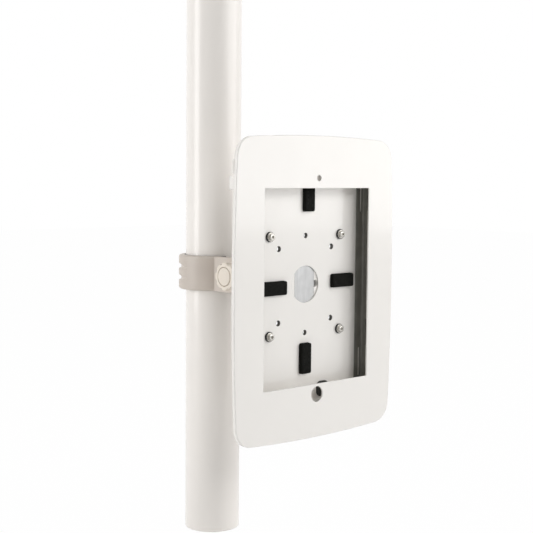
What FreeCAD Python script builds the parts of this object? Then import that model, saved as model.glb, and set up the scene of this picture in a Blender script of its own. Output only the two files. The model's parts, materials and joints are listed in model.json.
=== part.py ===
"""Customer display on a counter pole: a hinged tablet enclosure on a tilting pole clamp.

Millimetres, +Z up. The origin is the centre of the pole's foot and the screen faces -Y.
"""
import FreeCAD
import Part
import math
import os

V = FreeCAD.Vector
X_AXIS = V(1, 0, 0)
Y_AXIS = V(0, 1, 0)
Z_AXIS = V(0, 0, 1)

# clearances
running_fit = 0.05
bolt_clearance = 0.1
flat_gap = 0.1
slip_gap = 0.15
overshoot = 2.0
slot_end_flat = 0.01

# pole
pole_diameter = 61.0
pole_wall = 2.0
pole_length = 600.0
cap_thickness = 4.0
cap_plug_length = 18.0
cap_rounding = 2.5
foot_plug_length = 40.0
foot_thread_diameter = 12.0
foot_thread_depth = 30.0

# where the display sits on the pole
display_height = 286.0
pivot_above_centre = 3.5
pivot_forward = 62.5
arm_reach = 84.8

# clamp
sleeve_thickness = 1.6
band_height = 38.0
band_thickness = 6.1
band_rounding = 2.5
groove_radius = 3.2
groove_spacing = 12.8
groove_offset = 4.6
ear_thickness = 8.0
ear_past_pivot = 15.0
ear_corner_radius = 11.0
ear_rounding = 1.5
bolt_diameter = 8.0
bolt_head_across_flats = 13.0
bolt_head_height = 5.3
bolt_crown_height = 0.6
bolt_crown_inset = 0.4
washer_thickness = 1.5
washer_diameter = 20.0

# knob
knob_diameter = 30.0
knob_thickness = 12.0
knob_lobes = 8
lobe_cut_radius = 3.4
lobe_cut_depth = 1.5
knob_rounding = 1.2
knob_cap_diameter = 19.4
knob_cap_thickness = 2.4
knob_cap_groove = 0.8
knob_cap_rounding = 0.7
knob_recess_depth = 1.9
insert_diameter = 13.0
insert_length = 8.0

# tilting arm
arm_width = 27.5
arm_barrel_radius = 12.0
arm_neck_height = 18.0
arm_pad_height = 52.0
arm_wing_width = 56.0
arm_wing_thickness = 4.0
arm_wing_corner_radius = 3.0
arm_neck_flare = 12.0
arm_screw_diameter = 4.0
arm_screw_pitch_x = 41.0
arm_screw_pitch_z = 34.0
arm_screw_head_diameter = 7.5
arm_screw_head_height = 2.4
arm_screw_head_rounding = 1.0

# adapter plate behind the tray
plate_size = 124.0
plate_thickness = 3.0
plate_corner_radius = 8.0
vesa_large = 100.0
vesa_small = 75.0
vesa_small_hole_diameter = 6.0
middle_hole_diameter = 5.5
sight_hole_diameter = 7.0
sight_hole_offset = 15.6
vesa_screw_diameter = 4.0
vesa_screw_head_diameter = 7.2
vesa_screw_head_height = 2.6
vesa_screw_head_rounding = 1.3
vesa_screw_socket = 3.0
vesa_screw_socket_depth = 2.0
vesa_screw_tip = 1.0
vesa_rubber_diameter = 10.4
vesa_rubber_thickness = 1.6
vesa_washer_diameter = 9.2
vesa_washer_thickness = 1.0
vesa_nut_across_flats = 7.0
vesa_nut_thickness = 3.2

# rear tray
tablet_width = 169.5
tablet_height = 240.0
tablet_clearance = 1.25
tray_sheet = 1.2
tray_wall_height = 17.0
tray_corner_radius = 6.0
tray_bend_radius = 3.0
tray_centre_hole_diameter = 38.0
tray_below_centre = 1.1

# dark liners that wrap the pocket's long sides, with slots, and thin pads on them
liner_thickness = 0.6
liner_panel_leg = 11.5
liner_rim_gap = 1.5
liner_end_gap = 4.0
liner_slot_width = 2.0
liner_slot_length = 30.6
liner_slot_from_wall = 4.7
liner_slot_z = 88.3
side_pad_thickness = 0.5
side_pad_length = 28.0
side_pad_depth = 9.0
side_pad_levels = (88.0, -56.0)

# cable entry
cable_slot_width = 13.6
cable_slot_height = 13.0
cable_slot_radius = 4.0
cable_slot_x = 26.2
cable_slot_below_centre = 111.0
grommet_lip = 1.6
grommet_lip_thickness = 1.2
grommet_membrane = 1.0
grommet_slit_width = 0.8
grommet_slit_length = 6.5

# foam pads; each place is across and above the screen centre
pad_length = 32.0
pad_width = 14.4
pad_thickness = 4.4
pad_corner_radius = 2.2
pad_edge_rounding = 0.8
pad_right_place = (52.6, 1.4)
pad_left_place = (-44.5, -1.8)
pad_top_place = (2.4, 90.4)
pad_bottom_place = (-0.6, -76.5)

# front cover
cover_side_margin = 25.3
cover_end_margin = 31.05
cover_below_tray = 1.2
cover_side_bow = 4.0
cover_end_bow = 4.0
cover_corner_radius = 21.0
cover_sheet = 1.5
cover_flange_depth = 4.0
cover_edge_rounding = 0.9
cover_rim_gap = 0.5
screen_side_border = 10.75
screen_end_border = 20.4
window_corner_radius = 1.2
camera_hole_diameter = 6.0
camera_hole_from_tablet_end = 10.3
home_hole_diameter = 16.0
home_hole_from_tablet_end = 9.9

# cover hinge
hinge_length = 180.0
hinge_knuckles = 5
hinge_knuckle_radius = 3.5
hinge_knuckle_gap = 0.4
hinge_pin_diameter = 4.0
hinge_pin_head_diameter = 6.0
hinge_pin_head_height = 1.5
hinge_pin_head_rounding = 0.6
hinge_leaf_thickness = 1.5
hinge_leaf_width = 10.0
hinge_axis_from_wall = 6.0
hinge_axis_clearance = 0.4

# cover latch
latch_above_centre = 119.2
latch_slider_height = 15.2
latch_slider_thickness = 2.0
latch_slider_reach = 18.0
latch_slider_radius = 4.0
latch_travel = 12.0
latch_from_rim = 8.2
latch_bracket_thickness = 1.5
latch_bracket_reach = 9.0
latch_bracket_leg = 11.0
latch_bracket_margin = 4.0
latch_stud_diameter = 3.0
latch_stud_pitch = 7.0
latch_stud_head_diameter = 5.0
latch_stud_head_height = 1.2
latch_stud_from_wall = 4.8
keeper_height = 13.0
keeper_sheet = 1.5
keeper_foot_reach = 7.0
keeper_end_gap = 0.5
keeper_gap = 1.4

# radii and levels worked out from the sizes above
pole_radius = pole_diameter / 2
pole_bore_radius = pole_radius - pole_wall
sleeve_inner = pole_radius + running_fit
sleeve_outer = sleeve_inner + sleeve_thickness
band_inner = sleeve_outer + running_fit
band_outer = band_inner + band_thickness
bolt_radius = bolt_diameter / 2
ear_inner = arm_width / 2 + washer_thickness + 2 * flat_gap
ear_outer = ear_inner + ear_thickness
knob_back = ear_outer + washer_thickness + flat_gap
knob_face = knob_back + knob_thickness
pivot_z = display_height + pivot_above_centre
pivot_y = -pivot_forward
panel_front = pivot_y - arm_reach
panel_back = panel_front + tray_sheet
plate_back = panel_back + plate_thickness
rim = panel_front - tray_wall_height
cover_back = rim - cover_rim_gap
cover_front = cover_back - cover_sheet
pocket_half_width = tablet_width / 2 + tablet_clearance
pocket_half_height = tablet_height / 2 + tablet_clearance
wall_outer = pocket_half_width + tray_sheet
wall_end = pocket_half_height + tray_sheet
tray_z = display_height - tray_below_centre
cover_z = tray_z - cover_below_tray
cover_width = 2 * (wall_outer + cover_side_margin)
cover_height = 2 * (wall_end + cover_end_margin)
window_width = tablet_width - 2 * screen_side_border
window_height = tablet_height - 2 * screen_end_border
camera_hole_z = tray_z + tablet_height / 2 - camera_hole_from_tablet_end
home_hole_z = tray_z - tablet_height / 2 + home_hole_from_tablet_end
hinge_x = wall_outer + hinge_axis_from_wall
hinge_leaf_back = cover_back + hinge_leaf_thickness
hinge_y = hinge_leaf_back + hinge_knuckle_radius + hinge_axis_clearance
latch_z = display_height + latch_above_centre
latch_front = rim + latch_from_rim
latch_back = latch_front + latch_slider_thickness
bracket_front = latch_back + slip_gap
bracket_back = bracket_front + latch_bracket_thickness


def block(x_range, y_range, z_range):
    """A box between two limits on each axis."""
    x0, x1 = sorted(x_range)
    y0, y1 = sorted(y_range)
    z0, z1 = sorted(z_range)
    return Part.makeBox(x1 - x0, y1 - y0, z1 - z0, V(x0, y0, z0))


def rod(radius, x_range, y, z):
    """A cylinder along X."""
    x0, x1 = sorted(x_range)
    return Part.makeCylinder(radius, x1 - x0, V(x0, y, z), X_AXIS)


def peg(radius, y_range, x, z):
    """A cylinder along Y."""
    y0, y1 = sorted(y_range)
    return Part.makeCylinder(radius, y1 - y0, V(x, y0, z), Y_AXIS)


def post(radius, z_range, x, y):
    """A cylinder along Z."""
    z0, z1 = sorted(z_range)
    return Part.makeCylinder(radius, z1 - z0, V(x, y, z0), Z_AXIS)


def hexagon(across_flats, length, start, direction):
    """A hexagonal prism that starts at a point and runs along a direction."""
    corner = across_flats / math.sqrt(3)
    ends = []
    for index in range(7):
        angle = math.radians(60 * index)
        ends.append(V(corner * math.cos(angle), corner * math.sin(angle), 0))
    prism = Part.Face(Part.makePolygon(ends)).extrude(V(0, 0, length))
    prism.Placement = FreeCAD.Placement(start, FreeCAD.Rotation(Z_AXIS, direction))
    return prism


def edges_along(shape, axis):
    """The straight edges that run along one axis."""
    found = []
    for edge in shape.Edges:
        if isinstance(edge.Curve, Part.Line) and abs(edge.tangentAt(edge.FirstParameter).dot(axis)) > 0.999:
            found.append(edge)
    return found


def edges_at(shape, axis, level):
    """The edges that lie wholly at one level along an axis."""
    found = []
    for edge in shape.Edges:
        box = edge.BoundBox
        low = V(box.XMin, box.YMin, box.ZMin).dot(axis)
        high = V(box.XMax, box.YMax, box.ZMax).dot(axis)
        if abs(low - level) < 0.01 and abs(high - level) < 0.01:
            found.append(edge)
    return found


def rounded_slab(half_width, half_height, radius, y_range, x=0.0, z=0.0):
    """A slab across Y with four rounded corners."""
    slab = block((x - half_width, x + half_width), y_range, (z - half_height, z + half_height))
    return slab.makeFillet(radius, edges_along(slab, Y_AXIS))


def corners(pitch_x, pitch_z):
    """The four points of a rectangular pattern about the screen centre."""
    points = []
    for side in (-1, 1):
        for level in (-1, 1):
            points.append((side * pitch_x / 2, display_height + level * pitch_z / 2))
    return points


def join(shapes):
    """Fuse touching shapes into one solid."""
    first = shapes[0]
    return first.multiFuse(shapes[1:]).removeSplitter()


# --- pole -------------------------------------------------------------------

def pole_tube():
    tube = post(pole_radius, (0, pole_length), 0, 0)
    return tube.cut(post(pole_bore_radius, (-overshoot, pole_length + overshoot), 0, 0))


def pole_top_cap():
    lid = post(pole_radius, (pole_length, pole_length + cap_thickness), 0, 0)
    lid = lid.makeFillet(cap_rounding, edges_at(lid, Z_AXIS, pole_length + cap_thickness))
    plug_end = pole_length - cap_plug_length
    plug = post(pole_bore_radius, (plug_end, pole_length), 0, 0)
    hollow = post(pole_bore_radius - pole_wall, (plug_end - overshoot, pole_length), 0, 0)
    return lid.fuse(plug.cut(hollow)).removeSplitter()


def pole_foot_plug():
    plug = post(pole_bore_radius, (0, foot_plug_length), 0, 0)
    return plug.cut(post(foot_thread_diameter / 2, (-overshoot, foot_thread_depth), 0, 0))


# --- clamp ------------------------------------------------------------------

def clamp_levels():
    return pivot_z - band_height / 2, pivot_z + band_height / 2


def front_gap(half_width):
    return block((-half_width, half_width), (pivot_y - ear_past_pivot - overshoot, 0),
                 (pivot_z - band_height, pivot_z + band_height))


def clamp_sleeve():
    sleeve = post(sleeve_outer, clamp_levels(), 0, 0)
    sleeve = sleeve.cut(post(sleeve_inner, (0, pole_length), 0, 0))
    return sleeve.cut(front_gap(ear_inner / 2))


def clamp_ears():
    """One block as tall as the band that runs past the pivot, before the gap parts it in two."""
    ear_front = pivot_y - ear_past_pivot
    ears = block((-ear_outer, ear_outer), (ear_front, 0), clamp_levels())
    front_corners = []
    for edge in edges_along(ears, X_AXIS):
        if abs(edge.BoundBox.YMin - ear_front) < 0.01:
            front_corners.append(edge)
    ears = ears.makeFillet(ear_corner_radius, front_corners)
    rims = edges_at(ears, X_AXIS, -ear_outer) + edges_at(ears, X_AXIS, ear_outer)
    return ears.makeFillet(ear_rounding, rims)


def clamp_band():
    ring = post(band_outer, clamp_levels(), 0, 0)
    ring = ring.makeFillet(band_rounding, ring.Edges[0:1] + ring.Edges[2:3])
    groove_major = band_outer + groove_radius
    for side in (-1, 1):
        level = pivot_z + side * groove_spacing / 2
        ring = ring.cut(Part.makeTorus(groove_major, groove_radius, V(0, -groove_offset, level), Z_AXIS))
    band = join([ring, clamp_ears()])
    band = band.cut(post(band_inner, (0, pole_length), 0, 0))
    band = band.cut(front_gap(ear_inner))
    return band.cut(rod(bolt_radius + bolt_clearance, (-band_outer, band_outer), pivot_y, pivot_z))


def washer(outer_radius, inner_radius, x_range):
    disc = rod(outer_radius, x_range, pivot_y, pivot_z)
    return disc.cut(rod(inner_radius, (x_range[0] - overshoot, x_range[1] + overshoot), pivot_y, pivot_z))


def friction_washers():
    inner = arm_width / 2 + flat_gap
    outer = inner + washer_thickness
    rings = [washer(arm_barrel_radius, bolt_radius + bolt_clearance, (-outer, -inner)),
             washer(arm_barrel_radius, bolt_radius + bolt_clearance, (inner, outer))]
    return Part.makeCompound(rings)


def knob_washer():
    return washer(washer_diameter / 2, bolt_radius + bolt_clearance,
                  (-ear_outer - washer_thickness, -ear_outer))


def head_washer():
    return washer(washer_diameter / 2, bolt_radius + bolt_clearance,
                  (ear_outer, ear_outer + washer_thickness))


def bolt_end():
    return -(knob_back + insert_length)


def clamp_bolt():
    head_start = ear_outer + washer_thickness
    shank = rod(bolt_radius, (bolt_end(), head_start), pivot_y, pivot_z)
    head = hexagon(bolt_head_across_flats, bolt_head_height, V(head_start, pivot_y, pivot_z), X_AXIS)
    crown_end = head_start + bolt_head_height + bolt_crown_height
    crown = rod(bolt_head_across_flats / 2 - bolt_crown_inset, (head_start, crown_end), pivot_y, pivot_z)
    return join([shank, head, crown])


# --- knob -------------------------------------------------------------------

def knob_lobe_cuts():
    centre_radius = knob_diameter / 2 + lobe_cut_radius - lobe_cut_depth
    cuts = []
    for index in range(knob_lobes):
        angle = 2 * math.pi * (index + 0.5) / knob_lobes
        y = pivot_y + centre_radius * math.cos(angle)
        z = pivot_z + centre_radius * math.sin(angle)
        cuts.append(rod(lobe_cut_radius, (-knob_face - overshoot, -knob_back + overshoot), y, z))
    return cuts


def clamp_knob():
    body = rod(knob_diameter / 2, (-knob_face, -knob_back), pivot_y, pivot_z)
    for cut in knob_lobe_cuts():
        body = body.cut(cut)
    body = body.makeFillet(knob_rounding, edges_at(body, X_AXIS, -knob_face))
    recess_radius = knob_cap_diameter / 2 + knob_cap_groove
    recess_end = -knob_face + knob_recess_depth
    body = body.cut(rod(recess_radius, (-knob_face - overshoot, recess_end), pivot_y, pivot_z))
    insert_end = -(knob_back + insert_length)
    return body.cut(rod(insert_diameter / 2, (insert_end, -knob_back + overshoot), pivot_y, pivot_z))


def knob_insert():
    ring = rod(insert_diameter / 2, (-(knob_back + insert_length), -knob_back), pivot_y, pivot_z)
    return ring.cut(rod(bolt_radius + running_fit, (-knob_face, 0), pivot_y, pivot_z))


def knob_cap():
    seat = -knob_face + knob_recess_depth
    cap = rod(knob_cap_diameter / 2, (seat - knob_cap_thickness, seat), pivot_y, pivot_z)
    return cap.makeFillet(knob_cap_rounding, edges_at(cap, X_AXIS, seat - knob_cap_thickness))


# --- tilting arm and adapter plate --------------------------------------------

def arm_neck():
    """A bar that widens from the barrel to the pad."""
    half_pad = arm_pad_height / 2
    half_neck = arm_neck_height / 2
    neck_end = plate_back + arm_neck_flare
    outline = Part.makePolygon([
        V(-arm_width / 2, pivot_y, pivot_z + half_neck), V(-arm_width / 2, neck_end, pivot_z + half_neck),
        V(-arm_width / 2, plate_back, display_height + half_pad),
        V(-arm_width / 2, plate_back, display_height - half_pad),
        V(-arm_width / 2, neck_end, pivot_z - half_neck), V(-arm_width / 2, pivot_y, pivot_z - half_neck),
        V(-arm_width / 2, pivot_y, pivot_z + half_neck)])
    return Part.Face(outline).extrude(V(arm_width, 0, 0))


def tilt_arm():
    barrel = rod(arm_barrel_radius, (-arm_width / 2, arm_width / 2), pivot_y, pivot_z)
    half_pad = arm_pad_height / 2
    pad = block((-arm_width / 2, arm_width / 2), (panel_back, plate_back + arm_wing_thickness),
                (display_height - half_pad, display_height + half_pad))
    wings = rounded_slab(arm_wing_width / 2, half_pad, arm_wing_corner_radius,
                         (plate_back, plate_back + arm_wing_thickness), 0, display_height)
    arm = join([barrel, arm_neck(), pad, wings])
    arm = arm.cut(rod(bolt_radius + running_fit, (-arm_width, arm_width), pivot_y, pivot_z))
    for x, z in corners(arm_screw_pitch_x, arm_screw_pitch_z):
        arm = arm.cut(peg(arm_screw_diameter / 2, (panel_back, plate_back + 2 * arm_wing_thickness), x, z))
    return arm


def arm_screws():
    screws = []
    for x, z in corners(arm_screw_pitch_x, arm_screw_pitch_z):
        head_start = plate_back + arm_wing_thickness
        shank = peg(arm_screw_diameter / 2, (panel_back, head_start), x, z)
        head = peg(arm_screw_head_diameter / 2, (head_start, head_start + arm_screw_head_height), x, z)
        head = head.makeFillet(arm_screw_head_rounding,
                               edges_at(head, Y_AXIS, head_start + arm_screw_head_height))
        screws.append(join([shank, head]))
    return Part.makeCompound(screws)


def adapter_plate():
    plate = rounded_slab(plate_size / 2, plate_size / 2, plate_corner_radius, (panel_back, plate_back),
                         0, display_height)
    plate = plate.cut(block((-arm_width / 2 - slip_gap, arm_width / 2 + slip_gap),
                            (panel_back - overshoot, plate_back + overshoot),
                            (display_height - arm_pad_height / 2 - slip_gap,
                             display_height + arm_pad_height / 2 + slip_gap)))
    reach = (panel_back - overshoot, plate_back + overshoot)
    for x, z in corners(arm_screw_pitch_x, arm_screw_pitch_z):
        plate = plate.cut(peg(arm_screw_diameter / 2, reach, x, z))
    for hole in pattern_holes(reach):
        plate = plate.cut(hole)
    return plate.cut(peg(sight_hole_diameter / 2, reach, sight_hole_offset, display_height))


def pattern_holes(reach):
    """The screw holes, the spare smaller pattern and the two middle holes."""
    holes = []
    for x, z in corners(vesa_large, vesa_large):
        holes.append(peg(vesa_screw_diameter / 2, reach, x, z))
    for x, z in corners(vesa_small, vesa_small):
        holes.append(peg(vesa_small_hole_diameter / 2, reach, x, z))
    for side in (-1, 1):
        holes.append(peg(middle_hole_diameter / 2, reach, 0, display_height + side * vesa_large / 2))
    return holes


def vesa_rings(outer_diameter, near, far):
    """Four washers between two levels in front of the tray panel."""
    rings = []
    for x, z in corners(vesa_large, vesa_large):
        ring = peg(outer_diameter / 2, (panel_front - far, panel_front - near), x, z)
        bore = peg(vesa_screw_diameter / 2, (panel_front - 2 * far, panel_back), x, z)
        rings.append(ring.cut(bore))
    return Part.makeCompound(rings)


def vesa_rubber_washers():
    return vesa_rings(vesa_rubber_diameter, 0, vesa_rubber_thickness)


def vesa_flat_washers():
    return vesa_rings(vesa_washer_diameter, vesa_rubber_thickness,
                      vesa_rubber_thickness + vesa_washer_thickness)


def vesa_screws():
    seat = panel_front - vesa_rubber_thickness - vesa_washer_thickness
    top = seat - vesa_screw_head_height
    screws = []
    for x, z in corners(vesa_large, vesa_large):
        shank = peg(vesa_screw_diameter / 2, (seat, plate_back + vesa_nut_thickness + vesa_screw_tip), x, z)
        head = peg(vesa_screw_head_diameter / 2, (top, seat), x, z)
        head = head.makeFillet(vesa_screw_head_rounding, edges_at(head, Y_AXIS, top))
        recess = hexagon(vesa_screw_socket, 2 * vesa_screw_socket_depth,
                         V(x, top - vesa_screw_socket_depth, z), Y_AXIS)
        screws.append(join([shank, head]).cut(recess))
    return Part.makeCompound(screws)


def vesa_nuts():
    nuts = []
    reach = (plate_back - overshoot, plate_back + vesa_nut_thickness + overshoot)
    for x, z in corners(vesa_large, vesa_large):
        nut = hexagon(vesa_nut_across_flats, vesa_nut_thickness, V(x, plate_back, z), Y_AXIS)
        nuts.append(nut.cut(peg(vesa_screw_diameter / 2, reach, x, z)))
    return Part.makeCompound(nuts)


# --- rear tray ----------------------------------------------------------------

def tray_block(grow, front, back):
    """The pocket's block, grown by a wall and bent round at its back."""
    radius = tray_corner_radius + grow
    slab = rounded_slab(pocket_half_width + grow, pocket_half_height + grow, radius,
                        (front, back), 0, tray_z)
    return slab.makeFillet(tray_bend_radius + grow, edges_at(slab, Y_AXIS, back))


def rear_tray():
    tray = tray_block(tray_sheet, rim, panel_back).cut(tray_block(0, rim - overshoot, panel_front))
    reach = (panel_front - overshoot, panel_back + overshoot)
    for hole in pattern_holes(reach):
        tray = tray.cut(hole)
    tray = tray.cut(peg(tray_centre_hole_diameter / 2, reach, 0, display_height))
    return tray.cut(cable_hole(0, reach))


def cable_hole(grow, reach):
    return rounded_slab(cable_slot_width / 2 + grow, cable_slot_height / 2 + grow, cable_slot_radius + grow,
                        reach, cable_slot_x, display_height - cable_slot_below_centre)


def cable_grommet():
    front_lip = cable_hole(grommet_lip, (panel_front - grommet_lip_thickness, panel_front))
    back_lip = cable_hole(grommet_lip, (panel_back, panel_back + grommet_lip_thickness))
    core = cable_hole(0, (panel_front - grommet_lip_thickness, panel_back + grommet_lip_thickness))
    body = join([front_lip, back_lip, core])
    middle = (panel_front + panel_back) / 2
    inset = -grommet_lip
    front_end = panel_front - grommet_lip_thickness - overshoot
    back_end = panel_back + grommet_lip_thickness + overshoot
    body = body.cut(cable_hole(inset, (middle - grommet_membrane / 2, front_end)))
    body = body.cut(cable_hole(inset, (middle + grommet_membrane / 2, back_end)))
    slit_z = display_height - cable_slot_below_centre
    slit = block((cable_slot_x - grommet_slit_width / 2, cable_slot_x + grommet_slit_width / 2),
                 (front_end, back_end), (slit_z - grommet_slit_length / 2, slit_z + grommet_slit_length / 2))
    return body.cut(slit)


def side_liner(side):
    """A thin strip that follows the panel, the bend and the wall on one side."""
    half_height = pocket_half_height - liner_end_gap - tray_corner_radius
    levels = (tray_z - half_height, tray_z + half_height)
    wall = pocket_half_width
    outer = block((side * (wall - liner_panel_leg), side * wall), (rim + liner_rim_gap, panel_front), levels)
    inner = block((side * (wall - liner_panel_leg - overshoot), side * (wall - liner_thickness)),
                  (rim, panel_front - liner_thickness), levels)
    outer = outer.makeFillet(tray_bend_radius, corner_edge(outer, side * wall, panel_front))
    inside_corner = corner_edge(inner, side * (wall - liner_thickness), panel_front - liner_thickness)
    inner = inner.makeFillet(tray_bend_radius - liner_thickness, inside_corner)
    liner = outer.cut(inner)
    for level in (-1, 1):
        slot = rounded_slab(liner_slot_width / 2, liner_slot_length / 2,
                            liner_slot_width / 2 - slot_end_flat,
                            (panel_front - tray_bend_radius, panel_front + overshoot),
                            side * (wall - liner_slot_from_wall), display_height + level * liner_slot_z)
        liner = liner.cut(slot)
    return liner


def corner_edge(shape, x, y):
    """The upright edge at one corner."""
    found = []
    for edge in edges_along(shape, Z_AXIS):
        if abs(edge.BoundBox.XMin - x) < 0.01 and abs(edge.BoundBox.YMin - y) < 0.01:
            found.append(edge)
    return found


def side_pads():
    """Thin foam pads on both liners, where the tablet's long sides rest."""
    pads = []
    for side in (-1, 1):
        face = side * (pocket_half_width - liner_thickness)
        front = rim + liner_rim_gap
        for level in side_pad_levels:
            middle = display_height + level
            pads.append(block((face - side * side_pad_thickness, face), (front, front + side_pad_depth),
                              (middle - side_pad_length / 2, middle + side_pad_length / 2)))
    return Part.makeCompound(pads)


def foam_pad(place, along_x):
    half_x = pad_length / 2 if along_x else pad_width / 2
    half_z = pad_width / 2 if along_x else pad_length / 2
    x, above = place
    pad = rounded_slab(half_x, half_z, pad_corner_radius, (panel_front - pad_thickness, panel_front),
                       x, display_height + above)
    return pad.makeFillet(pad_edge_rounding, edges_at(pad, Y_AXIS, panel_front - pad_thickness))


# --- front cover ----------------------------------------------------------------

def cover_outline(inset, y_range):
    """The bowed outline with round corners, moved in by an inset and raised along Y."""
    half_width = cover_width / 2 - inset
    half_height = cover_height / 2 - inset
    corner_x = half_width - cover_side_bow
    corner_z = half_height - cover_end_bow
    y0, y1 = sorted(y_range)
    right = Part.Arc(V(corner_x, y0, cover_z - corner_z), V(half_width, y0, cover_z),
                     V(corner_x, y0, cover_z + corner_z))
    top = Part.Arc(V(corner_x, y0, cover_z + corner_z), V(0, y0, cover_z + half_height),
                   V(-corner_x, y0, cover_z + corner_z))
    left = Part.Arc(V(-corner_x, y0, cover_z + corner_z), V(-half_width, y0, cover_z),
                    V(-corner_x, y0, cover_z - corner_z))
    bottom = Part.Arc(V(-corner_x, y0, cover_z - corner_z), V(0, y0, cover_z - half_height),
                      V(corner_x, y0, cover_z - corner_z))
    face = Part.Face(Part.Wire([right.toShape(), top.toShape(), left.toShape(), bottom.toShape()]))
    slab = face.extrude(V(0, y1 - y0, 0))
    return slab.makeFillet(cover_corner_radius - inset, edges_along(slab, Y_AXIS))


def front_cover():
    flange_back = cover_front + cover_flange_depth
    cover = cover_outline(0, (cover_front, flange_back))
    cover = cover.makeFillet(cover_edge_rounding, edges_at(cover, Y_AXIS, cover_front))
    cover = cover.cut(cover_outline(cover_sheet, (cover_back, flange_back + overshoot)))
    reach = (cover_front - overshoot, cover_back + overshoot)
    window = rounded_slab(window_width / 2, window_height / 2, window_corner_radius, reach, 0, tray_z)
    cover = cover.cut(window)
    cover = cover.cut(peg(camera_hole_diameter / 2, reach, 0, camera_hole_z))
    return cover.cut(peg(home_hole_diameter / 2, reach, 0, home_hole_z))


# --- cover hinge ------------------------------------------------------------------

def knuckle_spans(first):
    """The Z spans of every second knuckle, counted from the bottom."""
    step = hinge_length / hinge_knuckles
    bottom = tray_z - hinge_length / 2
    spans = []
    for index in range(first, hinge_knuckles, 2):
        spans.append((bottom + index * step + hinge_knuckle_gap / 2,
                      bottom + (index + 1) * step - hinge_knuckle_gap / 2))
    return spans


def hinge_bore():
    return post(hinge_pin_diameter / 2 + running_fit, (tray_z - hinge_length, tray_z + hinge_length),
                hinge_x, hinge_y)


def hinge_leaf_cover():
    half = hinge_length / 2
    pieces = [block((hinge_x - hinge_leaf_width / 2, hinge_x + hinge_leaf_width / 2),
                    (cover_back, hinge_leaf_back), (tray_z - half, tray_z + half))]
    for span in knuckle_spans(0):
        pieces.append(post(hinge_knuckle_radius, span, hinge_x, hinge_y))
        pieces.append(block((hinge_x, hinge_x + hinge_knuckle_radius), (cover_back, hinge_y), span))
    return join(pieces).cut(hinge_bore())


def hinge_leaf_tray():
    half = hinge_length / 2
    leaf_back = hinge_y + hinge_leaf_width
    knuckle_back = hinge_y + hinge_knuckle_radius
    pieces = [block((wall_outer, wall_outer + hinge_leaf_thickness),
                    (hinge_y - hinge_knuckle_radius, leaf_back), (tray_z - half, tray_z + half))]
    for span in knuckle_spans(1):
        pieces.append(post(hinge_knuckle_radius, span, hinge_x, hinge_y))
        web = (knuckle_back - hinge_leaf_thickness, knuckle_back)
        pieces.append(block((wall_outer, hinge_x), web, span))
    return join(pieces).cut(hinge_bore())


def hinge_pin():
    half = hinge_length / 2
    shank = post(hinge_pin_diameter / 2, (tray_z - half, tray_z + half + hinge_pin_head_height),
                 hinge_x, hinge_y)
    head_start = tray_z + half + flat_gap
    head_end = head_start + hinge_pin_head_height
    head = post(hinge_pin_head_diameter / 2, (head_start, head_end), hinge_x, hinge_y)
    head = head.makeFillet(hinge_pin_head_rounding, edges_at(head, Z_AXIS, head_end))
    return join([shank, head])


# --- cover latch ------------------------------------------------------------------

def stud_levels():
    return latch_z - latch_stud_pitch / 2, latch_z + latch_stud_pitch / 2


def latch_slider():
    start = -wall_outer - flat_gap
    end = -wall_outer - latch_slider_reach
    half = latch_slider_height / 2
    slider = block((end, start), (latch_front, latch_back), (latch_z - half, latch_z + half))
    outer = []
    for edge in edges_along(slider, Y_AXIS):
        if abs(edge.BoundBox.XMin - end) < 0.01:
            outer.append(edge)
    slider = slider.makeFillet(latch_slider_radius, outer)
    for level in stud_levels():
        slider = slider.cut(peg(latch_stud_diameter / 2, (latch_front - overshoot, latch_back + overshoot),
                                -wall_outer - latch_stud_from_wall, level))
    return slider


def latch_studs():
    x = -wall_outer - latch_stud_from_wall
    head_start = bracket_back + slip_gap
    studs = []
    for level in stud_levels():
        shank = peg(latch_stud_diameter / 2, (latch_front, head_start), x, level)
        head = peg(latch_stud_head_diameter / 2, (head_start, head_start + latch_stud_head_height), x, level)
        studs.append(join([shank, head]))
    return Part.makeCompound(studs)


def latch_bracket():
    low_stud, high_stud = stud_levels()
    slot_radius = latch_stud_diameter / 2 + running_fit
    low = low_stud - latch_travel - slot_radius - latch_bracket_margin
    high = high_stud + slot_radius + latch_bracket_margin
    plate = block((-wall_outer - latch_bracket_reach, -wall_outer), (bracket_front, bracket_back),
                  (low, high))
    leg = block((-wall_outer - latch_bracket_thickness, -wall_outer),
                (bracket_back, min(bracket_back + latch_bracket_leg, panel_front - tray_bend_radius)),
                (low, high))
    x = -wall_outer - latch_stud_from_wall
    reach = (bracket_front - overshoot, bracket_back + overshoot)
    slot = join([peg(slot_radius, reach, x, low_stud - latch_travel), peg(slot_radius, reach, x, high_stud),
                 block((x - slot_radius, x + slot_radius), reach, (low_stud - latch_travel, high_stud))])
    return join([plate, leg]).cut(slot)


def latch_keeper():
    """A bent strip on the cover whose foot the slider passes in front of when it comes down."""
    top = latch_z - latch_slider_height / 2 - keeper_gap
    levels = (top - keeper_height, top)
    leg_x = -wall_outer - latch_slider_reach - keeper_end_gap - keeper_sheet
    foot_front = latch_back + slip_gap
    foot_back = foot_front + keeper_sheet
    across = (leg_x, leg_x + keeper_foot_reach)
    leg = block((leg_x, leg_x + keeper_sheet), (cover_back, foot_back), levels)
    foot = block(across, (foot_front, foot_back), levels)
    flange = block(across, (cover_back, cover_back + keeper_sheet), levels)
    return join([leg, foot, flange])


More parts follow.
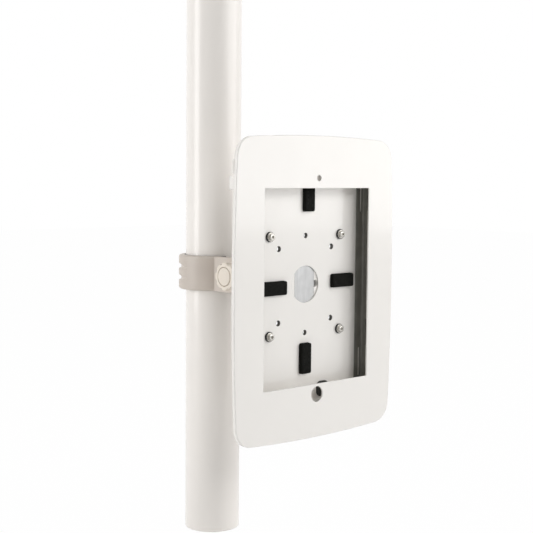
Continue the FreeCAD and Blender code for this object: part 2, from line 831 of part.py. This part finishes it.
NODES = {
    "pole_tube": pole_tube,
    "pole_top_cap": pole_top_cap,
    "pole_foot_plug": pole_foot_plug,
    "clamp_sleeve": clamp_sleeve,
    "clamp_band": clamp_band,
    "friction_washers": friction_washers,
    "knob_washer": knob_washer,
    "head_washer": head_washer,
    "clamp_bolt": clamp_bolt,
    "clamp_knob": clamp_knob,
    "knob_insert": knob_insert,
    "knob_cap": knob_cap,
    "tilt_arm": tilt_arm,
    "arm_screws": arm_screws,
    "adapter_plate": adapter_plate,
    "vesa_rubber_washers": vesa_rubber_washers,
    "vesa_flat_washers": vesa_flat_washers,
    "vesa_screws": vesa_screws,
    "vesa_nuts": vesa_nuts,
    "rear_tray": rear_tray,
    "cable_grommet": cable_grommet,
    "side_liner_left": lambda: side_liner(-1),
    "side_liner_right": lambda: side_liner(1),
    "side_pads": side_pads,
    "foam_pad_right": lambda: foam_pad(pad_right_place, True),
    "foam_pad_left": lambda: foam_pad(pad_left_place, True),
    "foam_pad_top": lambda: foam_pad(pad_top_place, False),
    "foam_pad_bottom": lambda: foam_pad(pad_bottom_place, False),
    "front_cover": front_cover,
    "hinge_leaf_cover": hinge_leaf_cover,
    "hinge_leaf_tray": hinge_leaf_tray,
    "hinge_pin": hinge_pin,
    "latch_slider": latch_slider,
    "latch_studs": latch_studs,
    "latch_bracket": latch_bracket,
    "latch_keeper": latch_keeper,
}

os.makedirs("parts", exist_ok=True)
for node_name, make in NODES.items():
    shape = make()
    if not shape.isValid():
        raise ValueError(node_name + " is not a valid shape")
    shape.exportStep("parts/" + node_name + ".step")
    print(node_name, len(shape.Solids), round(shape.Volume, 1))
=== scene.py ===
import json
import math

import bmesh
import bpy
from mathutils import Matrix, Vector, noise


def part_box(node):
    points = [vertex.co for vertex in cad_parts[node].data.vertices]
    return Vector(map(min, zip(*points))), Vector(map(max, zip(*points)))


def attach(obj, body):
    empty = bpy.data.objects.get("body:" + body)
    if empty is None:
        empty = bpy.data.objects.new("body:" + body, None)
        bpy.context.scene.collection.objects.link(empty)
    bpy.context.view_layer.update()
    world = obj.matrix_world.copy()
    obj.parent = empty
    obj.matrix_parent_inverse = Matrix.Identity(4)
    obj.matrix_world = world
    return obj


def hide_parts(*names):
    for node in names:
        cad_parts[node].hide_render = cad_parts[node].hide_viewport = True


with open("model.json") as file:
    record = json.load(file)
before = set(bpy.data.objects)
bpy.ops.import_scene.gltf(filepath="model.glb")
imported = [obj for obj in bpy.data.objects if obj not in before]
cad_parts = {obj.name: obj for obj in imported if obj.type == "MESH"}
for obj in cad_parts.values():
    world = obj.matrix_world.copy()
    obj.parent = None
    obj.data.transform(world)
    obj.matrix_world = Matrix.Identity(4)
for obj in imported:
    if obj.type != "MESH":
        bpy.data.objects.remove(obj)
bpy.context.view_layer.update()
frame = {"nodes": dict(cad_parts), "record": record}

NODES = frame["nodes"]

# --- camera: the viewing angle, in degrees, metres and a 36 mm wide sensor ------------------

CAMERA_PLACE = Vector((-0.8125, -0.9758, 0.3980))
CAMERA_AZIMUTH = math.radians(-42.48)
CAMERA_ELEVATION = math.radians(4.64)
CAMERA_ROLL = math.radians(0.46)
CAMERA_LENS = 76.7
SENSOR_WIDTH = 36


def make_camera():
    level = math.cos(CAMERA_ELEVATION)
    back = Vector((math.sin(CAMERA_AZIMUTH) * level, -math.cos(CAMERA_AZIMUTH) * level,
                   math.sin(CAMERA_ELEVATION)))
    right = (-back).cross(Vector((0, 0, 1))).normalized()
    up = right.cross(-back)
    turned_right = right * math.cos(CAMERA_ROLL) + up * math.sin(CAMERA_ROLL)
    turned_up = up * math.cos(CAMERA_ROLL) - right * math.sin(CAMERA_ROLL)
    data = bpy.data.cameras.new("camera")
    data.lens = CAMERA_LENS
    data.sensor_width = SENSOR_WIDTH
    camera = bpy.data.objects.new("camera", data)
    axes = Matrix((turned_right, turned_up, back)).transposed()
    camera.matrix_world = Matrix.Translation(CAMERA_PLACE) @ axes.to_4x4()
    bpy.context.scene.collection.objects.link(camera)
    bpy.context.scene.camera = camera


# --- light, world and floor -------------------------------------------------------------------

def soft_box(name, place, target, size, watts):
    """A rectangular lamp at a place, turned to face a target."""
    data = bpy.data.lights.new(name, "AREA")
    data.shape = "RECTANGLE"
    data.size, data.size_y = size
    data.energy = watts
    light = bpy.data.objects.new(name, data)
    light.location = place
    light.rotation_euler = (Vector(target) - Vector(place)).to_track_quat("-Z", "Y").to_euler()
    bpy.context.scene.collection.objects.link(light)


def seen_directly(tree):
    """1 for camera, glossy and transmission rays, so that they meet the plain white background."""
    path = tree.nodes.new("ShaderNodeLightPath")
    first = tree.nodes.new("ShaderNodeMath")
    first.operation = "MAXIMUM"
    second = tree.nodes.new("ShaderNodeMath")
    second.operation = "MAXIMUM"
    tree.links.new(path.outputs["Is Camera Ray"], first.inputs[0])
    tree.links.new(path.outputs["Is Glossy Ray"], first.inputs[1])
    tree.links.new(first.outputs[0], second.inputs[0])
    tree.links.new(path.outputs["Is Transmission Ray"], second.inputs[1])
    return second.outputs[0]


WHITE = (1, 1, 1, 1)
WORLD_BRIGHT = 0.52
WORLD_DIM = 0.20
DIM_SIDE = Vector((-0.72, -0.69, 0.05))
DIM_STARTS = -0.1
DIM_ENDS = 0.75


def make_world():
    """A plain studio: pale all round, dimmer on the camera's side, white behind the object."""
    world = bpy.data.worlds.new("studio")
    bpy.context.scene.world = world
    world.use_nodes = True
    tree = world.node_tree
    tree.nodes.clear()
    coords = tree.nodes.new("ShaderNodeTexCoord")
    dot = tree.nodes.new("ShaderNodeVectorMath")
    dot.operation = "DOT_PRODUCT"
    dot.inputs[1].default_value = DIM_SIDE.normalized()
    tree.links.new(coords.outputs["Generated"], dot.inputs[0])
    level = tree.nodes.new("ShaderNodeMapRange")
    level.interpolation_type = "SMOOTHSTEP"
    level.inputs["From Min"].default_value = DIM_STARTS
    level.inputs["From Max"].default_value = DIM_ENDS
    level.inputs["To Min"].default_value = WORLD_BRIGHT
    level.inputs["To Max"].default_value = WORLD_DIM
    tree.links.new(dot.outputs["Value"], level.inputs["Value"])
    studio = tree.nodes.new("ShaderNodeBackground")
    studio.inputs["Color"].default_value = WHITE
    tree.links.new(level.outputs["Result"], studio.inputs["Strength"])
    white = tree.nodes.new("ShaderNodeBackground")
    white.inputs["Color"].default_value = WHITE
    white.inputs["Strength"].default_value = 1.0
    mix = tree.nodes.new("ShaderNodeMixShader")
    tree.links.new(seen_directly(tree), mix.inputs[0])
    tree.links.new(studio.outputs[0], mix.inputs[1])
    tree.links.new(white.outputs[0], mix.inputs[2])
    out = tree.nodes.new("ShaderNodeOutputWorld")
    tree.links.new(mix.outputs[0], out.inputs["Surface"])


FLOOR_SIZE = 12.0
FLOOR_DROP = 0.0002
FLOOR_GREY = (0.86, 0.86, 0.86, 1)
FLOOR_WHITE_SHARE = 0.985


def make_floor():
    """A white floor that keeps a faint shadow."""
    bpy.ops.mesh.primitive_plane_add(size=FLOOR_SIZE, location=(0, 0, -FLOOR_DROP))
    floor = bpy.context.object
    floor.name = "floor"
    material = bpy.data.materials.new("floor")
    material.use_nodes = True
    tree = material.node_tree
    shader = tree.nodes["Principled BSDF"]
    shader.inputs["Base Color"].default_value = FLOOR_GREY
    shader.inputs["Roughness"].default_value = 0.9
    glow = tree.nodes.new("ShaderNodeEmission")
    glow.inputs["Color"].default_value = WHITE
    glow.inputs["Strength"].default_value = 1.0
    share = tree.nodes.new("ShaderNodeMath")
    share.operation = "MULTIPLY"
    share.inputs[1].default_value = FLOOR_WHITE_SHARE
    tree.links.new(seen_directly(tree), share.inputs[0])
    mix = tree.nodes.new("ShaderNodeMixShader")
    tree.links.new(share.outputs[0], mix.inputs[0])
    tree.links.new(shader.outputs[0], mix.inputs[1])
    tree.links.new(glow.outputs[0], mix.inputs[2])
    tree.links.new(mix.outputs[0], tree.nodes["Material Output"].inputs["Surface"])
    floor.data.materials.append(material)


def make_lights():
    """A wide box that the cover mirrors, one in front, one left behind and one above."""
    soft_box("mirrored", (1.5, -1.65, 0.84), (0.1, -0.25, 0.80), (1.8, 1.2), 15)
    soft_box("front", (0.55, -2.1, 1.35), (0.0, -0.1, 0.3), (0.8, 0.8), 12)
    soft_box("left", (-1.7, 0.75, 0.75), (0.0, 0.0, 0.3), (0.8, 1.7), 19)
    soft_box("top", (-0.1, -0.1, 2.0), (0.0, -0.1, 0.3), (1.6, 1.6), 3.5)


# --- materials --------------------------------------------------------------------------------

EDGE_STARTS = 0.02
EDGE_FULL = 0.22
EDGE_SAMPLES = 6


class Graph:
    """A node material that is built up one texture at a time."""

    def __init__(self, name, roughness, metallic=0.0):
        self.material = bpy.data.materials.new(name)
        self.material.use_nodes = True
        self.tree = self.material.node_tree
        self.shader = self.tree.nodes["Principled BSDF"]
        self.shader.inputs["Roughness"].default_value = roughness
        self.shader.inputs["Metallic"].default_value = metallic
        self.place = self.tree.nodes.new("ShaderNodeTexCoord").outputs["Object"]

    def stretched(self, scale):
        """The object's own coordinates, scaled differently on each axis."""
        mapping = self.tree.nodes.new("ShaderNodeMapping")
        mapping.inputs["Scale"].default_value = scale
        self.tree.links.new(self.place, mapping.inputs["Vector"])
        return mapping.outputs["Vector"]

    def cloud(self, scale, detail, vector=None):
        """Cloudy noise; the scale is in features per metre."""
        node = self.tree.nodes.new("ShaderNodeTexNoise")
        node.inputs["Scale"].default_value = scale
        node.inputs["Detail"].default_value = detail
        self.tree.links.new(vector or self.place, node.inputs["Vector"])
        return node.outputs["Fac"]

    def cells(self, scale):
        """The distance from the nearest of many scattered points."""
        node = self.tree.nodes.new("ShaderNodeTexVoronoi")
        node.inputs["Scale"].default_value = scale
        self.tree.links.new(self.place, node.inputs["Vector"])
        return node.outputs["Distance"]

    def remap(self, source, low, high, to_low, to_high):
        node = self.tree.nodes.new("ShaderNodeMapRange")
        for name, value in (("From Min", low), ("From Max", high), ("To Min", to_low), ("To Max", to_high)):
            node.inputs[name].default_value = value
        self.tree.links.new(source, node.inputs["Value"])
        return node.outputs["Result"]

    def mix(self, factor, first, second):
        node = self.tree.nodes.new("ShaderNodeMix")
        node.data_type = "RGBA"
        self.tree.links.new(factor, node.inputs["Factor"])
        for socket, value in ((node.inputs[6], first), (node.inputs[7], second)):
            if isinstance(value, (tuple, list)):
                socket.default_value = (*value, 1)
            else:
                self.tree.links.new(value, socket)
        return node.outputs[2]

    def math(self, operation, first, second):
        node = self.tree.nodes.new("ShaderNodeMath")
        node.operation = operation
        for socket, value in ((node.inputs[0], first), (node.inputs[1], second)):
            if isinstance(value, (int, float)):
                socket.default_value = value
            else:
                self.tree.links.new(value, socket)
        return node.outputs[0]

    def edge_mask(self, radius):
        """Near 1 on sharp edges and 0 on flat surfaces; also keeps the rounded normal."""
        bevel = self.tree.nodes.new("ShaderNodeBevel")
        bevel.samples = EDGE_SAMPLES
        bevel.inputs["Radius"].default_value = radius
        geometry = self.tree.nodes.new("ShaderNodeNewGeometry")
        dot = self.tree.nodes.new("ShaderNodeVectorMath")
        dot.operation = "DOT_PRODUCT"
        self.tree.links.new(bevel.outputs["Normal"], dot.inputs[0])
        self.tree.links.new(geometry.outputs["Normal"], dot.inputs[1])
        self.rounded = bevel.outputs["Normal"]
        return self.remap(self.math("SUBTRACT", 1.0, dot.outputs["Value"]), EDGE_STARTS, EDGE_FULL, 0.0, 1.0)

    def bump(self, height, depth, strength, normal):
        node = self.tree.nodes.new("ShaderNodeBump")
        node.inputs["Strength"].default_value = strength
        node.inputs["Distance"].default_value = depth
        self.tree.links.new(height, node.inputs["Height"])
        if normal is not None:
            self.tree.links.new(normal, node.inputs["Normal"])
        return node.outputs["Normal"]

    def finish(self, colour, roughness, normal):
        for name, value in (("Base Color", colour), ("Roughness", roughness), ("Normal", normal)):
            self.tree.links.new(value, self.shader.inputs[name])
        return self.material


def shade(colour, factor):
    """A colour made lighter or darker."""
    return tuple(channel * factor for channel in colour)


def powder_coat(name, colour, roughness, peel, wear):
    """Baked paint: faint orange peel and mottling, and greyer edges that are partly thin worn paint and
    partly painted edge shade.
    """
    graph = Graph(name, roughness)
    graph.shader.inputs["Coat Weight"].default_value = 0.35
    graph.shader.inputs["Coat Roughness"].default_value = 0.06
    mottle = graph.cloud(22, 4)
    edge = graph.edge_mask(0.0009)
    # greyer edges: worn thin paint in patches, and painted edge shade that outlines every edge
    edge_wear_and_shade = graph.math("MULTIPLY", edge, graph.remap(graph.cloud(320, 3), 0.35, 0.7, 0.25, 1.0))
    paint = graph.mix(graph.remap(mottle, 0.3, 0.7, 0.0, 1.0), shade(colour, 0.985), colour)
    worn = graph.mix(edge_wear_and_shade, paint, shade(colour, wear))
    rough = graph.remap(graph.cloud(60, 3), 0.3, 0.7, roughness - 0.04, roughness + 0.05)
    ripple = graph.bump(graph.cloud(14, 1), 2.0e-4, 0.25, graph.rounded)
    peeled = graph.bump(graph.cloud(420, 1.5), peel, 0.35, ripple)
    return graph.finish(worn, rough, peeled)


def moulded_plastic(name, colour, roughness, grain, depth, wear=1.12):
    """Spark-textured plastic with polished edges."""
    graph = Graph(name, roughness)
    edge = graph.edge_mask(0.0008)
    mottle = graph.remap(graph.cloud(35, 4), 0.3, 0.7, 0.0, 1.0)
    base = graph.mix(mottle, shade(colour, 0.955), shade(colour, 1.02))
    worn = graph.mix(graph.math("MULTIPLY", edge, 0.6), base, shade(colour, wear))
    rough = graph.remap(graph.cloud(140, 3), 0.3, 0.7, roughness - 0.06, roughness + 0.08)
    grained = graph.bump(graph.cloud(grain, 3), depth, 0.6, graph.rounded)
    return graph.finish(worn, rough, grained)


def worked_metal(name, colour, roughness, stretch, scale):
    """Metal with drawn or turned lines and duller, darker patches."""
    graph = Graph(name, roughness, 1.0)
    edge = graph.edge_mask(0.0005)
    lines = graph.cloud(scale, 3, graph.stretched(stretch))
    patches = graph.remap(graph.cloud(90, 4), 0.35, 0.65, 0.0, 1.0)
    base = graph.mix(patches, shade(colour, 0.85), colour)
    streaked = graph.mix(graph.remap(lines, 0.3, 0.7, 0.0, 0.5), base, shade(colour, 0.75))
    worn = graph.mix(graph.math("MULTIPLY", edge, 0.7), streaked, shade(colour, 1.15))
    rough = graph.remap(lines, 0.25, 0.75, roughness - 0.07, roughness + 0.12)
    lined = graph.bump(lines, 2.0e-5, 0.5, graph.rounded)
    return graph.finish(worn, rough, lined)


def soft_rubber(name, colour, roughness, grain=650, depth=8.0e-5):
    """Rubber with a fine grain and dusty, greyed edges."""
    graph = Graph(name, roughness)
    edge = graph.edge_mask(0.0007)
    dust = graph.remap(graph.cloud(70, 4), 0.4, 0.75, 0.0, 1.0)
    base = graph.mix(dust, colour, shade(colour, 1.25))
    worn = graph.mix(graph.math("MULTIPLY", edge, 0.4), base, shade(colour, 1.6))
    rough = graph.remap(graph.cloud(200, 3), 0.3, 0.7, roughness - 0.08, roughness + 0.08)
    grained = graph.bump(graph.cloud(grain, 3), depth, 0.7, graph.rounded)
    return graph.finish(worn, rough, grained)


def cell_foam(name, colour):
    """Closed-cell foam: small pores with painted shade in their pits, matt, with hardly any shine."""
    graph = Graph(name, 0.85)
    graph.shader.inputs["Specular IOR Level"].default_value = 0.12
    pores = graph.cells(1500)
    large = graph.cells(620)
    dust = graph.remap(graph.cloud(160, 4), 0.4, 0.75, 0.0, 1.0)
    # painted shade: darker towards each pore's middle, where the bump below sinks the surface
    base = graph.mix(graph.remap(pores, 0.0, 0.6, 0.0, 1.0), shade(colour, 0.55), shade(colour, 1.25))
    dusty = graph.mix(graph.math("MULTIPLY", dust, 0.3), base, shade(colour, 1.8))
    rough = graph.remap(graph.cloud(240, 2), 0.3, 0.7, 0.78, 0.95)
    pitted = graph.bump(pores, 1.6e-4, 0.8, graph.bump(large, 2.0e-4, 0.5, None))
    return graph.finish(dusty, rough, pitted)


def make_materials():
    """One material for each slot of the record, and one for the threads, dark as painted shade of the hole
    walls.
    """
    white = (0.925, 0.897, 0.857)
    taupe = (0.60, 0.535, 0.475)
    bright_steel = (0.60, 0.58, 0.54)
    return {
        # the last number of each powder coat sets how grey its edges go: worn paint and painted edge shade
        "pole_paint": powder_coat("pole_paint", (0.91, 0.870, 0.825), 0.34, 2.0e-5, 0.86),
        "white_cap": moulded_plastic("white_cap", (0.86, 0.85, 0.82), 0.35, 800, 2.0e-5, 0.96),
        "foot_metal": worked_metal("foot_metal", (0.60, 0.60, 0.61), 0.35, (1, 1, 0.1), 500),
        "sleeve_rubber": soft_rubber("sleeve_rubber", (0.05, 0.048, 0.045), 0.6),
        "taupe_plastic": moulded_plastic("taupe_plastic", taupe, 0.42, 850, 5.0e-5),
        "knob_plastic": moulded_plastic("knob_plastic", (0.80, 0.725, 0.63), 0.38, 900, 3.5e-5),
        "zinc_steel": worked_metal("zinc_steel", bright_steel, 0.24, (1, 0.15, 1), 900),
        "nylon": moulded_plastic("nylon", (0.72, 0.70, 0.64), 0.45, 700, 3.0e-5, 0.95),
        "brass": worked_metal("brass", (0.62, 0.44, 0.18), 0.3, (0.1, 1, 1), 900),
        "arm_aluminium": worked_metal("arm_aluminium", (0.46, 0.46, 0.46), 0.38, (1, 1, 0.08), 420),
        "cover_paint": powder_coat("cover_paint", white, 0.16, 3.0e-5, 0.74),
        "tray_paint": powder_coat("tray_paint", white, 0.18, 3.5e-5, 0.78),
        "black_rubber": soft_rubber("black_rubber", (0.018, 0.018, 0.016), 0.5),
        "black_foam": cell_foam("black_foam", (0.006, 0.006, 0.005)),
        # painted shade: the threads are real, but their near-black colour stands in for the shade inside the
        # spare holes
        "thread_steel_painted_shade": worked_metal("thread_steel_painted_shade", (0.13, 0.125, 0.115), 0.34, (1, 1, 1), 1200),
        # painted shade: the liner's dark grey stands in for the shade and dark reflections on the tray's
        # inner side walls
        "liner_grey": soft_rubber("liner_grey", (0.20, 0.195, 0.172), 0.36, 500, 2.0e-5),
    }


def dress_nodes(materials):
    """Gives every CAD node the full material of its slot."""
    for part in frame["record"]["subparts"]:
        node = NODES[part["node"]]
        node.data.materials.clear()
        node.data.materials.append(materials[part["material_slot"]])


# --- foam pads --------------------------------------------------------------------------------

PAD_NODES = ("foam_pad_right", "foam_pad_left", "foam_pad_top", "foam_pad_bottom")
PAD_CORNER = 0.0022
PAD_WAVE = 0.00016
PAD_WAVE_ABOVE = 0.5
PAD_WAVES_PER_METRE = 260
PAD_LEAST_CORNER = 0.0004
PAD_SEED_STEP = 3.7
CORNER_STEPS = 6
SIDE_STEPS = 2 * CORNER_STEPS
# how far in from the cut edge, in metres, and how high, as a share of the thickness
PAD_RINGS = ((0.0, 0.0), (0.0001, 0.12), (0.00022, 0.45), (0.00016, 0.7), (0.0003, 0.86), (0.0008, 0.96),
             (0.0016, 0.995), (0.0030, 1.0), (0.0046, 0.985))


def rounded_ring(half_x, half_z, corner):
    """Points round a rectangle with round corners, the same number whatever its size."""
    points = []
    for index in range(4):
        side_x = (1, -1, -1, 1)[index]
        side_z = (1, 1, -1, -1)[index]
        for step in range(CORNER_STEPS + 1):
            angle = math.radians(90 * index + 90 * step / CORNER_STEPS)
            points.append((side_x * (half_x - corner) + corner * math.cos(angle),
                           side_z * (half_z - corner) + corner * math.sin(angle)))
        last = points[-1]
        goal = (-last[0], last[1]) if index % 2 == 0 else (last[0], -last[1])
        for step in range(1, SIDE_STEPS):
            share = step / SIDE_STEPS
            points.append((last[0] + (goal[0] - last[0]) * share, last[1] + (goal[1] - last[1]) * share))
    return points


def foam_pad(node, seed):
    """A die-cut foam block: waisted cut sides, a soft rim and a slightly dished top."""
    low, high = (Vector(corner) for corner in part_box(node))
    middle = (low + high) / 2
    half_x = (high.x - low.x) / 2
    half_z = (high.z - low.z) / 2
    thickness = high.y - low.y
    mesh = bmesh.new()
    layers = []
    for inset, rise in PAD_RINGS:
        radius = max(PAD_CORNER - inset, PAD_LEAST_CORNER)
        layer = []
        for a, b in rounded_ring(half_x - inset, half_z - inset, radius):
            x = middle.x + a
            z = middle.z + b
            dent = 0.0
            if rise > PAD_WAVE_ABOVE:
                dent = abs(noise.noise(Vector((x, z, seed)) * PAD_WAVES_PER_METRE) * PAD_WAVE)
            layer.append(mesh.verts.new((x, high.y - (thickness * rise - dent), z)))
        layers.append(layer)
    for lower, upper in zip(layers, layers[1:]):
        for index in range(len(lower)):
            after = (index + 1) % len(lower)
            mesh.faces.new((lower[index], lower[after], upper[after], upper[index]))
    mesh.faces.new(layers[-1])
    mesh.faces.new(list(reversed(layers[0])))
    bmesh.ops.triangulate(mesh, faces=[face for face in mesh.faces if len(face.verts) > 4])
    data = finished_mesh(mesh, node)
    for polygon in data.polygons:
        polygon.use_smooth = True
    return new_piece(node + "_cut", data, "display", "black_foam", MATERIALS["black_foam"], node)


def finished_mesh(mesh, name):
    """Turns a bmesh into mesh data, with all its faces turned outwards."""
    bmesh.ops.recalc_face_normals(mesh, faces=mesh.faces)
    data = bpy.data.meshes.new(name)
    mesh.to_mesh(data)
    mesh.free()
    return data


def new_piece(name, data, body, slot, material, *nodes):
    """Links a mesh as a piece of one body, in place of CAD nodes if any are named."""
    piece = bpy.data.objects.new(name, data)
    bpy.context.scene.collection.objects.link(piece)
    data.materials.append(material)
    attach(piece, body)
    if nodes:
        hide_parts(*nodes)
    return piece


def make_pads():
    for index, node in enumerate(PAD_NODES):
        foam_pad(node, index * PAD_SEED_STEP)


# --- thread linings of the spare holes, dark as painted shade of their walls --------------------

MM_PER_METRE = 1000
SMALL_HOLE_RADIUS = 0.0030
MIDDLE_HOLE_RADIUS = 0.00275
MIDDLE_HOLE_RISE = 0.050
THREAD_PITCH = 0.0008
THREAD_DEPTH = 0.00045
THREAD_ROOT_SHARE = 0.35
THREAD_STEPS = 32
LINING_GAP = 0.00002


def spare_holes():
    """Centre and radius of each spare hole, from the stated pattern and the two above and below it."""
    pattern = next(m for m in frame["record"]["mounts"] if m["name"] == "spare_pattern")
    middle = Vector(pattern["pos_m"])
    half = pattern["dims"]["spacing_x_mm"] / 2 / MM_PER_METRE
    holes = []
    for side in (-1, 1):
        for level in (-1, 1):
            holes.append((middle + Vector((side * half, 0, level * half)), SMALL_HOLE_RADIUS))
        holes.append((middle + Vector((0, 0, side * MIDDLE_HOLE_RISE)), MIDDLE_HOLE_RADIUS))
    return holes


def thread_lining(mesh, centre, radius, length):
    """A threaded bush through one hole, its dark colour painted shade of the hole wall: a plain outside and
    a saw-toothed bore.
    """
    outer = radius - LINING_GAP
    profile = [(outer, length), (outer, 0.0)]
    turns = int(length / THREAD_PITCH)
    for turn in range(turns + 1):
        profile.append((outer - THREAD_DEPTH * THREAD_ROOT_SHARE, min(turn * THREAD_PITCH, length)))
        if turn < turns:
            profile.append((outer - THREAD_DEPTH, (turn + 0.5) * THREAD_PITCH))
    rings = []
    for distance, along in profile:
        ring = []
        for step in range(THREAD_STEPS):
            angle = 2 * math.pi * step / THREAD_STEPS
            offset = Vector((distance * math.cos(angle), along, distance * math.sin(angle)))
            ring.append(mesh.verts.new(centre + offset))
        rings.append(ring)
    for first, second in zip(rings, rings[1:] + rings[:1]):
        for step in range(THREAD_STEPS):
            after = (step + 1) % THREAD_STEPS
            mesh.faces.new((first[step], first[after], second[after], second[step]))


def make_thread_linings():
    plate_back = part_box("adapter_plate")[1][1]
    mesh = bmesh.new()
    for centre, radius in spare_holes():
        thread_lining(mesh, centre, radius, plate_back - centre.y)
    data = finished_mesh(mesh, "thread_linings_painted_shade")
    # the linings' dark thread colour is painted shade of the hole walls
    new_piece("thread_linings_painted_shade", data, "display", "zinc_steel", MATERIALS["thread_steel_painted_shade"])


# --- run --------------------------------------------------------------------------------------

make_camera()
make_world()
make_floor()
make_lights()
MATERIALS = make_materials()
dress_nodes(MATERIALS)
make_pads()
make_thread_linings()

bpy.context.scene.view_settings.view_transform = "Standard"
